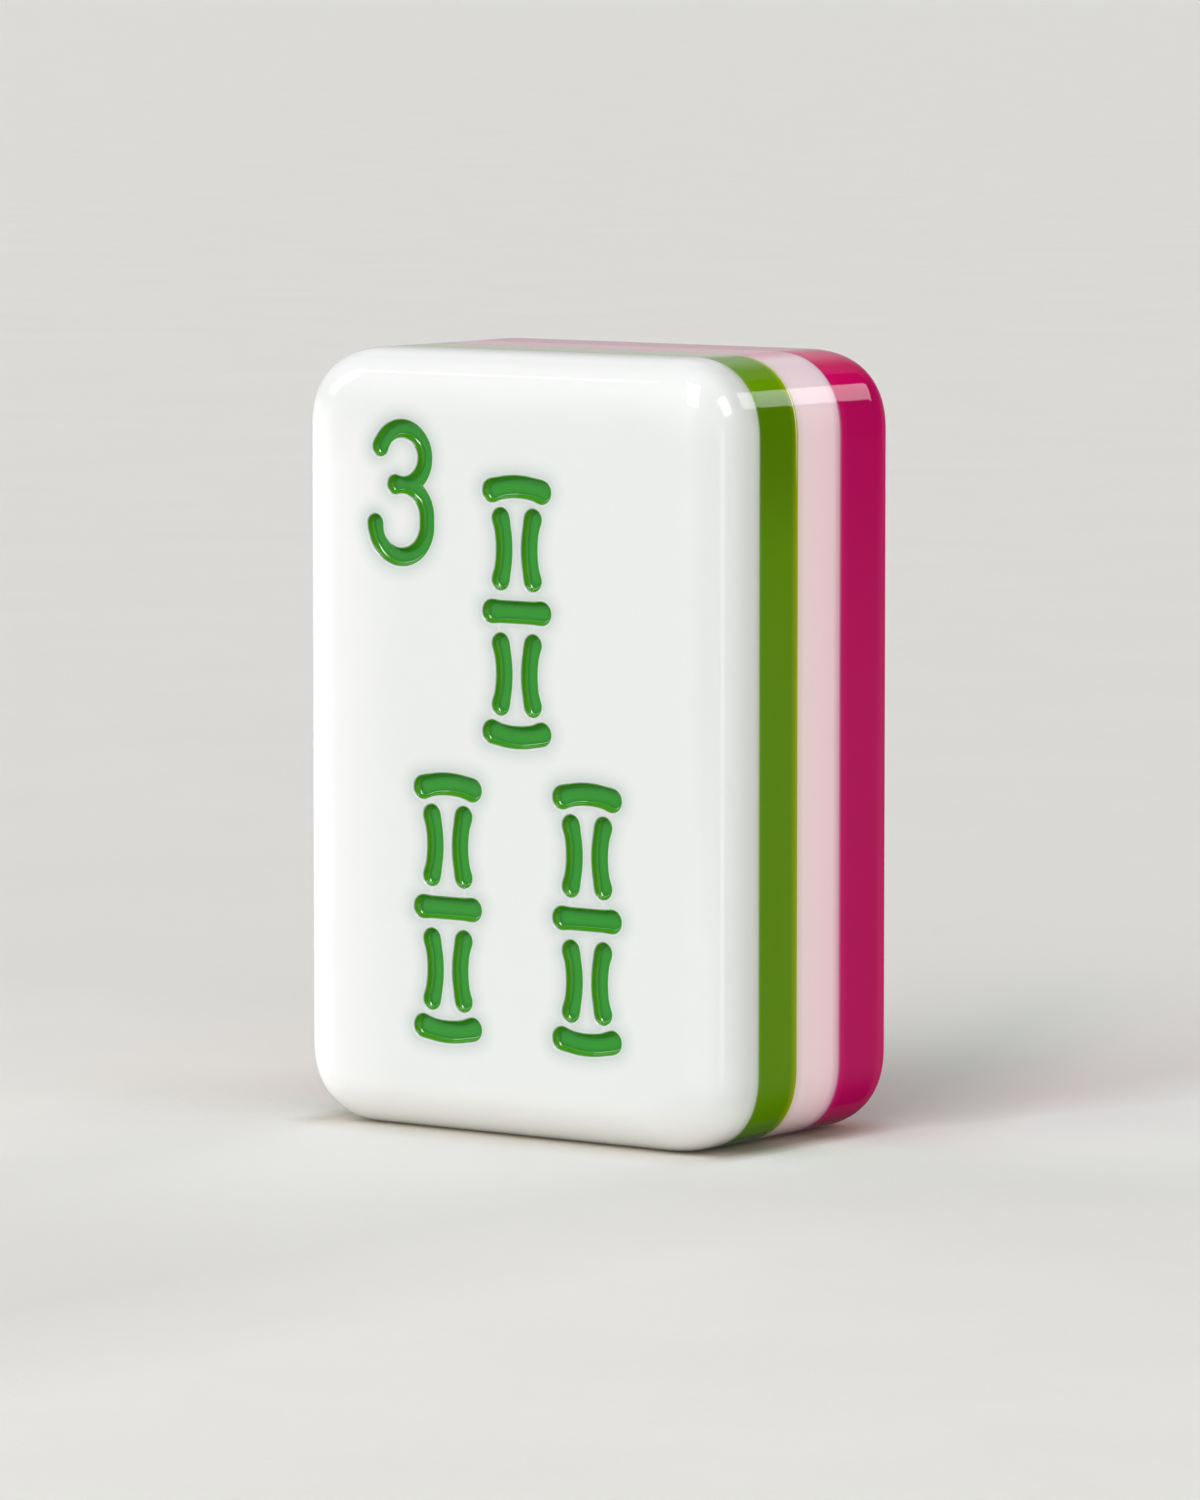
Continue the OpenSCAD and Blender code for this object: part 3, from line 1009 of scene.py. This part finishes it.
finish_piece(
    look(face_piece("face_layer", [s for strokes in ENGRAVED.values() for s in strokes])),
    WHITE,
)
finish_piece(look(sheet_piece("green_layer")), GREEN)
finish_piece(look(sheet_piece("pink_layer")), PINK)
finish_piece(look(back_piece("back_layer")), MAGENTA)
for film, material in zip(FILMS, (FACE_FILM, MIDDLE_FILM, BACK_FILM)):
    finish_piece(look(sheet_piece(film)), material)
for node, strokes in ENGRAVED.items():
    finish_piece(look(enamel_piece(node, strokes)), ENAMEL)


# Camera, from a fit to the photograph
CAMERA_AZIMUTH = 36.35
CAMERA_ELEVATION = 5.53
CAMERA_DISTANCE = 0.3384
CAMERA_TO_RIGHT = 0.0013 * 0.03
CAMERA_UP = -0.0170 * 0.03
SENSOR = 36
FOCAL_PIXELS = 8784
PHOTO_HEIGHT_PIXELS = 1500


def make_camera():
    az, el = math.radians(CAMERA_AZIMUTH), math.radians(CAMERA_ELEVATION)
    back = Vector((math.sin(az) * math.cos(el), -math.cos(az) * math.cos(el), math.sin(el)))
    right = Vector((math.cos(az), math.sin(az), 0))
    up = back.cross(right)
    middle = Vector((0, 0, TILE_H / 2 * MM))
    data = bpy.data.cameras.new("camera")
    camera = bpy.data.objects.new("camera", data)
    bpy.context.scene.collection.objects.link(camera)
    camera.location = middle + back * CAMERA_DISTANCE + right * CAMERA_TO_RIGHT + up * CAMERA_UP
    camera.rotation_euler = Matrix((right, up, back)).transposed().to_euler()
    data.sensor_width = SENSOR
    data.lens = FOCAL_PIXELS / PHOTO_HEIGHT_PIXELS * SENSOR
    data.clip_start = 0.01
    bpy.context.scene.camera = camera


make_camera()

# Stage: a pale paper floor
FLOOR_R = 12.0
FLOOR_SEGMENTS = 96


def make_floor(material):
    """A wide flat disc, left out of reflections, which show the studio's own dark and light instead."""
    rim = [(*(direction(a) * FLOOR_R), 0) for a in np.linspace(0, 360, FLOOR_SEGMENTS, endpoint=False)]
    mesh = bpy.data.meshes.new("floor")
    mesh.from_pydata(rim, [], [tuple(range(FLOOR_SEGMENTS))])
    mesh.update()
    floor = bpy.data.objects.new("floor", mesh)
    bpy.context.scene.collection.objects.link(floor)
    floor.visible_glossy = False
    floor.data.materials.append(material)


# The paper's colours near the tile and beyond it, over a distance in metres, and painted light beside it
PAPER_NEAR = srgb(231, 230, 228)
PAPER_BEYOND = srgb(233, 232, 228)
BEYOND_FROM = 0.004
BEYOND_L = 0.012
PAPER_BESIDE_LIGHT = srgb(250, 249, 245)
PAPER_BESIDE_LIGHT_RIGHT = 0.75
PAPER_CLOUD = srgb(214, 213, 209)

# Right of the tile the paper is fully lit, past an edge that widens behind the tile. In metres
PAPER_LIT = srgb(249, 254, 251)
LIT_EDGE_X = 0.0096
LIT_EDGE_W = 0.0014
LIT_EDGE_SPREAD = 0.35
LIT_SPREAD_FROM_Y = 0.006

# The shadow behind the tile runs along a line on the paper, x = SHADOW_X - SHADOW_LEAN y. In metres
PAPER_SHADOW = srgb(211, 220, 213)
SHADOW_X = 0.0113
SHADOW_LEAN = 0.42
SHADOW_RIGHT_W = 0.006
SHADOW_LEFT_W = 0.01
SHADOW_START_Y = 0.004
SHADOW_START_L = 0.006
SHADOW_END_Y = 0.055
SHADOW_END_L = 0.03

# Light that reaches the paper under the tile's rounded edges is faint and warm
PAPER_UNDER = srgb(248, 236, 210)
UNDER_W = 0.0016
# There is less of it at the left corner, along the right side and along the front. Each of these has its
# colour and its patch's spans
UNDER_SHADES = (
    (srgb(200, 195, 186), (("X", -10.6, -9.4), ("X", -6, -8), ("Y", -7, -5.6), ("Y", 3, 0))),
    (srgb(160, 148, 134), (("X", 10.5, 9.2), ("Y", -6.3, -5), ("Y", 7, 2), ("X", 6, 8))),
    (srgb(218, 215, 208), (("Y", -7.8, -6), ("X", -10, -6), ("X", 10.2, 9), ("Y", -4.5, -5.8))),
)


def shadow_share(nodes):
    """1 along the middle of the shadow behind the tile, and 0 outside it."""
    off = nodes.total(nodes.axis("X"), nodes.product(nodes.axis("Y"), SHADOW_LEAN))
    off = nodes.math("SUBTRACT", off, SHADOW_X)
    sides = [nodes.math("DIVIDE", off, width) for width in (SHADOW_RIGHT_W, -SHADOW_LEFT_W)]
    across = nodes.math("SUBTRACT", 1.0, nodes.math("MAXIMUM", *sides), clamp=True)
    from_start = nodes.math("SUBTRACT", nodes.axis("Y"), SHADOW_START_Y)
    from_end = nodes.math("SUBTRACT", SHADOW_END_Y, nodes.axis("Y"))
    return nodes.product(
        nodes.math("DIVIDE", from_start, SHADOW_START_L, clamp=True),
        nodes.math("DIVIDE", from_end, SHADOW_END_L, clamp=True), across,
    )


def lit_share(nodes):
    """1 on the paper right of the tile, from the edge of its shadow on."""
    behind = nodes.math("MAXIMUM", nodes.math("SUBTRACT", nodes.axis("Y"), LIT_SPREAD_FROM_Y), 0.0)
    width = nodes.total(nodes.product(behind, LIT_EDGE_SPREAD), LIT_EDGE_W)
    past_edge = nodes.math("SUBTRACT", nodes.axis("X"), LIT_EDGE_X)
    past_edge = nodes.math("DIVIDE", past_edge, width, clamp=True)
    return nodes.product(past_edge, nodes.share("Y", -12, 0), nodes.share("X", 40, 13))


def under_share(nodes):
    """0 at the tile's outline on the paper, and 1 a little way in under it."""
    share = 1.0
    for name, half in (("X", TILE_W / 2), ("Y", TILE_T / 2)):
        way_in = nodes.math("SUBTRACT", float(half * MM), nodes.math("ABSOLUTE", nodes.axis(name)))
        share = nodes.product(nodes.math("DIVIDE", way_in, UNDER_W, clamp=True), share)
    return nodes.product(share, nodes.share("X", -9.6, -7))


def paper():
    nodes = Nodes("paper")
    # Distance beyond the tile, away from the photograph's camera
    az = math.radians(CAMERA_AZIMUTH)
    beyond = nodes.total(
        nodes.product(nodes.axis("X"), -math.sin(az)), nodes.product(nodes.axis("Y"), math.cos(az)),
    )
    beyond = nodes.math("DIVIDE", nodes.math("SUBTRACT", beyond, BEYOND_FROM), BEYOND_L, clamp=True)
    tone = nodes.ramp(beyond, [(0, PAPER_NEAR), (1, PAPER_BEYOND)])
    # Painted light: beside the tile the paper is a little paler
    right = nodes.product(nodes.share("X", 11, 23), PAPER_BESIDE_LIGHT_RIGHT)
    beside_light = nodes.product(nodes.total(nodes.share("X", -9, -21), right), nodes.share("Y", 22, -8))
    tone = nodes.mix(beside_light, tone, PAPER_BESIDE_LIGHT)
    tone = nodes.mix(lit_share(nodes), tone, PAPER_LIT)
    # Where the shadow is deepest, it takes none of the magenta's tint
    tone = nodes.mix(shadow_share(nodes), tone, PAPER_SHADOW)
    tone = nodes.mix(under_share(nodes), tone, PAPER_UNDER)
    for colour, spans in UNDER_SHADES:
        tone = nodes.mix(nodes.patch(*spans), tone, colour)
    mottled = nodes.mix(nodes.noise(60, 4, 0.6), tone, PAPER_CLOUD)
    nodes.set(Base_Color=nodes.mix(0.3, tone, mottled), Roughness=0.9, Specular_IOR_Level=0.1)
    nodes.bump(nodes.noise(1600, 4, 0.6), FIBRE_WAVE, 0.5)
    return nodes.material


make_floor(paper())


# Light
def sun(name, towards, strength, spread):
    """A far lamp as wide as the spread, in degrees."""
    data = bpy.data.lights.new(name, "SUN")
    data.energy = strength
    data.angle = math.radians(spread)
    lamp = bpy.data.objects.new(name, data)
    bpy.context.scene.collection.objects.link(lamp)
    lamp.rotation_mode = "QUATERNION"
    lamp.rotation_quaternion = Vector(towards).to_track_quat("Z", "Y")
    lamp.visible_glossy = False


sun("key", (-0.4, -0.8, 0.6), 0.1, 30)


class Sky(Tree):
    """Node tree of the studio's surroundings, where each light lies in a direction from the tile."""

    def __init__(self, name):
        world = bpy.data.worlds.new(name)
        bpy.context.scene.world = world
        world.use_nodes = True
        super().__init__(world.node_tree)
        self.towards = self.add("ShaderNodeTexCoord").outputs["Generated"]
        split = self.add("ShaderNodeSeparateXYZ")
        self.link(self.towards, split.inputs[0])
        self.x, self.y, self.z = split.outputs

    def step(self, value, low, high, height=1.0):
        """A smooth rise from 0 to the height, while the value goes from low to high."""
        node = self.add("ShaderNodeMapRange", interpolation_type="SMOOTHSTEP")
        node.inputs["From Min"].default_value = low
        node.inputs["From Max"].default_value = high
        node.inputs["To Max"].default_value = height
        self.link(value, node.inputs["Value"])
        return node.outputs[0]

    def lobe(self, centre, low, high, height):
        """Light round a centre, which falls off to nothing where the cosine to it is low."""
        return self.step(self.dot(self.towards, Vector(centre).normalized()), low, high, height)

    def panel(self, centre, along, half_length, half_width, level, soft=0.012):
        """A softbox at a centre, with its long side along a direction. Sizes are for a distance of 1."""
        centre = Vector(centre).normalized()
        along = (Vector(along) - centre * Vector(along).dot(centre)).normalized()
        ahead = self.dot(self.towards, centre)
        light = self.step(ahead, 0.05, 0.1, level)
        for axis, half in ((along, half_length), (centre.cross(along), half_width)):
            off = self.math("ABSOLUTE", self.math("DIVIDE", self.dot(self.towards, axis), ahead))
            light = self.product(light, self.step(self.math("SUBTRACT", half, off), -soft, soft))
        return light

    def grey(self, level):
        node = self.add("ShaderNodeCombineColor")
        for socket in node.inputs[:3]:
            self.link(level, socket)
        return node.outputs[0]


def compass(azimuth, elevation):
    """A direction from the tile: azimuth in degrees clockwise from behind it, elevation above the table."""
    az, el = math.radians(azimuth), math.radians(elevation)
    return math.sin(az) * math.cos(el), math.cos(az) * math.cos(el), math.sin(el)


# Soft light: azimuth, elevation and level of each lobe, and the cosines between which it rises
SOFTBOXES = (
    (180, 40, 1.56), (150, 40, 0.7), (210, 40, 0.2),
    (60, 12, 0.5), (75, 12, 1.1), (90, 12, 0.5), (270, 12, 0.85), (285, 12, 1.2), (300, 12, 0.4),
)
SOFTBOX_COSINES = (0.7, 0.97)
FILL_LEVEL = 0.02

# What polished surfaces mirror: centre, long side, half length, half width, level and softness of each panel
PANELS = {
    "behind": ((0.4, 0.84, 0.39), (0.7, 0, -0.7), 0.14, 0.075, 2.6),
    "right": ((0.808, 0.253, 0.532), (0, 0, 1), 0.21, 0.2, 5),
    "front": ((0.25, -0.498, 0.83), (-0.318, 0.768, 0.557), 0.38, 0.17, 13),
    "left": ((-0.76, -0.42, 0.51), (0.555, 0.08, 0.828), 0.28, 0.11, 5, 0.03),
    "high left": ((-0.6, -0.28, 0.75), (1, 0, 0), 0.12, 0.016, 5),
    "low right": ((0.998, -0.05, -0.1), (0, 0, 1), 0.25, 0.085, 1.6, 0.02),
}
BACKDROP = srgb(217, 216, 212)


def make_world():
    """Soft light all round, and what a polished surface mirrors: panels, and dark behind the tile."""
    sky = Sky("studio")
    soft_light = sky.total(
        FILL_LEVEL, *(sky.lobe(compass(az, el), *SOFTBOX_COSINES, level) for az, el, level in SOFTBOXES),
    )

    below = sky.product(sky.z, -1.0)
    leftwards = sky.product(sky.x, -1.0)
    dark_side = sky.step(sky.x, 0.05, 0.1)
    over_table = sky.product(sky.step(leftwards, 0.1, 0.45), sky.step(sky.z, -0.06, 0.02))
    far_left = sky.math("MAXIMUM", over_table, sky.step(leftwards, 0.56, 0.68))
    far_left = sky.product(0.48, far_left, sky.rest(sky.step(sky.y, 0.82, 0.92, 0.45)))
    near_table = sky.product(0.08, sky.rest(sky.step(sky.z, 0, 0.2, 0.8)))
    back_wall = sky.total(far_left, sky.step(sky.z, 0.3, 0.55, 0.15), near_table)
    back_wall = sky.product(back_wall, sky.rest(sky.step(below, 0.1, 0.3, 0.3)))
    table = sky.product(sky.step(below, 0.05, 0.1, 0.12), sky.rest(sky.step(below, 0.2, 0.5)))
    behind = sky.total(sky.product(back_wall, sky.rest(dark_side)), sky.product(table, dark_side))
    front = sky.total(
        0.5,
        sky.step(sky.z, 0.4, 0.9, 0.25),
        sky.product(sky.lobe((-0.97, -0.2, -0.1), 0.7, 0.97, 1.6), sky.rest(sky.step(sky.z, 0, 0.15))),
        sky.lobe((0.8, -0.55, 0.1), 0.7, 0.95, 0.2),
    )
    front = sky.product(front, sky.rest(sky.step(below, 0.2, 0.8, 0.5)))
    is_behind = sky.step(sky.y, 0.3, 0.75)
    panels = {name: sky.panel(*sizes) for name, sizes in PANELS.items()}
    # The left panel ends in a sharp upright edge
    panels["left"] = sky.product(panels["left"], sky.step(leftwards, 0.612, 0.63))
    mirrored = sky.total(
        sky.product(front, sky.rest(is_behind)), sky.product(behind, is_behind), *panels.values(),
    )

    path = sky.add("ShaderNodeLightPath")
    light = sky.mix(path.outputs["Is Glossy Ray"], sky.grey(soft_light), sky.grey(mirrored))
    seen = sky.mix(path.outputs["Is Camera Ray"], light, BACKDROP)
    sky.link(seen, sky.tree.nodes["Background"].inputs["Color"])


make_world()
bpy.context.scene.view_settings.view_transform = "Standard"
